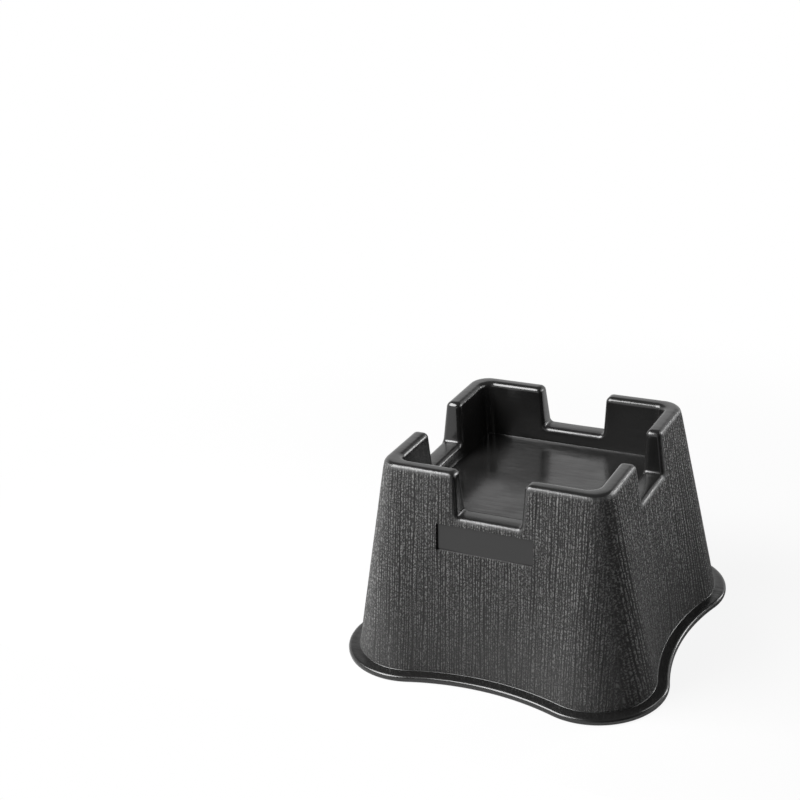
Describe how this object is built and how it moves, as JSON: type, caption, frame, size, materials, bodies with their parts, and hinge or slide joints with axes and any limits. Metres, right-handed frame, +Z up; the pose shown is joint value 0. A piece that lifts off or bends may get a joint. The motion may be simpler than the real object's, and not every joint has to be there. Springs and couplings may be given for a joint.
{
  "type": "bed riser",
  "caption": "Hollow moulded plastic bed riser: square cup with notched rim on a flared, wood-grained tower with a wavy lipped foot.",
  "frame": {"origin": "on the floor under the middle of the foot", "axes": "+Z up, the bare plate's side (front) towards -Y, +X to its right"},
  "size_m": [0.17, 0.17, 0.1075],
  "materials": {
    "riser_plastic": "black moulded plastic, upright wood grain outside, satin rim, cup and foot"
  },
  "bodies": {
    "root": {"riser": "riser_plastic"}
  },
  "joints": []
}
